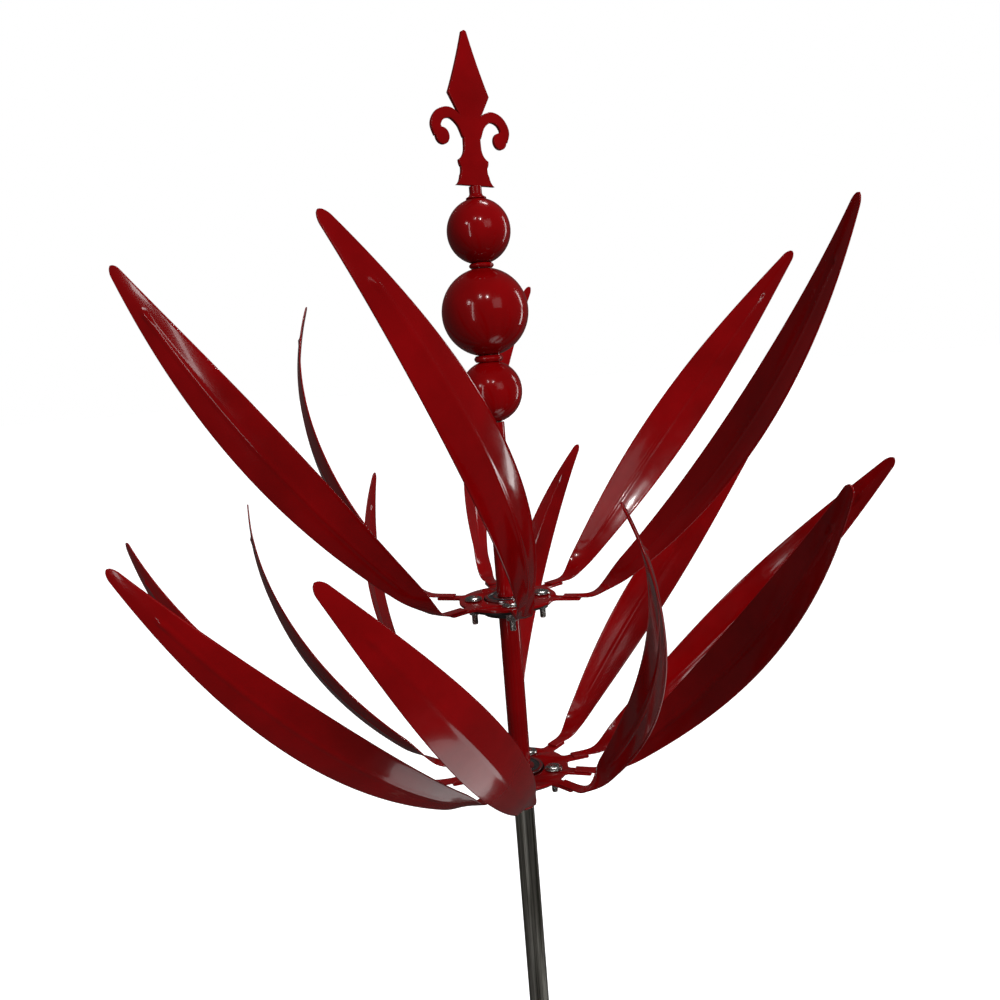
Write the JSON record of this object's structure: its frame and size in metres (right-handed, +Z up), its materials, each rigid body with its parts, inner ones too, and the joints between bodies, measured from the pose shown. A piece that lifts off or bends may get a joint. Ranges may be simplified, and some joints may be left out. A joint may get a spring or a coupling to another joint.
{
  "type": "kinetic wind sculpture",
  "caption": "Garden wind sculpture: stacked balls and a scrolled spear on a fixed mast, with tiers of curved blades that spin on sealed bearings, and a ground fork.",
  "frame": {"origin": "on the mast axis at the soil line, at the underside of the step bar", "axes": "+Z up along the mast; +X along the step bar; the viewer who sees the spear's flat side stands towards -Y"},
  "size_m": [0.5913, 0.5573, 1.401],
  "materials": {
    "red_enamel": "glossy deep red enamel on sheet steel",
    "bare_steel": "bare drawn steel tube, clear coated",
    "stainless": "bright stainless fasteners",
    "black_iron": "satin black pressed bearing housing",
    "seal_rubber": "black moulded bearing seal",
    "bearing_steel": "ground bearing steel"
  },
  "bodies": {
    "mast": {"step_bar": "bare_steel", "prong_left": "bare_steel", "prong_right": "bare_steel", "centre_spike": "bare_steel", "lower_pole": "bare_steel", "upper_pole": "bare_steel", "pole_sleeve": "bare_steel", "spindle": "bare_steel", "hub_seat": "red_enamel", "spacer_middle": "red_enamel", "spacer_top": "red_enamel", "ball_low": "red_enamel", "ball_middle": "red_enamel", "ball_high": "red_enamel", "neck_low": "red_enamel", "neck_high": "red_enamel", "finial_stem": "red_enamel", "finial_spear": "red_enamel", "upper_inner_race": "bearing_steel", "lower_inner_race": "bearing_steel"},
    "upper_rotor": {"upper_outer_race": "bearing_steel", "upper_bearing_seal": "seal_rubber", "upper_flange": "black_iron", "upper_spider": "red_enamel", "upper_bolt_1": "stainless", "upper_bolt_2": "stainless", "upper_bolt_3": "stainless", "upper_bolt_4": "stainless", "upper_nut_1": "stainless", "upper_nut_2": "stainless", "upper_nut_3": "stainless", "upper_nut_4": "stainless", "upper_blade_1": "red_enamel", "upper_blade_2": "red_enamel", "upper_blade_3": "red_enamel", "upper_blade_4": "red_enamel", "upper_blade_5": "red_enamel", "upper_blade_6": "red_enamel"},
    "lower_rotor": {"lower_outer_race": "bearing_steel", "lower_bearing_seal": "seal_rubber", "lower_flange": "black_iron", "lower_spider": "red_enamel", "lower_bolt_1": "stainless", "lower_bolt_2": "stainless", "lower_bolt_3": "stainless", "lower_bolt_4": "stainless", "lower_nut_1": "stainless", "lower_nut_2": "stainless", "lower_nut_3": "stainless", "lower_nut_4": "stainless", "lower_blade_1": "red_enamel", "lower_blade_2": "red_enamel", "lower_blade_3": "red_enamel", "lower_blade_4": "red_enamel", "lower_blade_5": "red_enamel", "lower_blade_6": "red_enamel", "lower_blade_7": "red_enamel", "lower_blade_8": "red_enamel", "lower_blade_9": "red_enamel", "lower_blade_10": "red_enamel"}
  },
  "joints": [
    {"name": "upper_spin", "type": "hinge", "parent": "mast", "child": "upper_rotor", "pos_m": [0, 0, 0.8], "axis": [0, 0, 1], "continuous": true},
    {"name": "lower_spin", "type": "hinge", "parent": "mast", "child": "lower_rotor", "pos_m": [0, 0, 0.66], "axis": [0, 0, 1], "continuous": true}
  ]
}
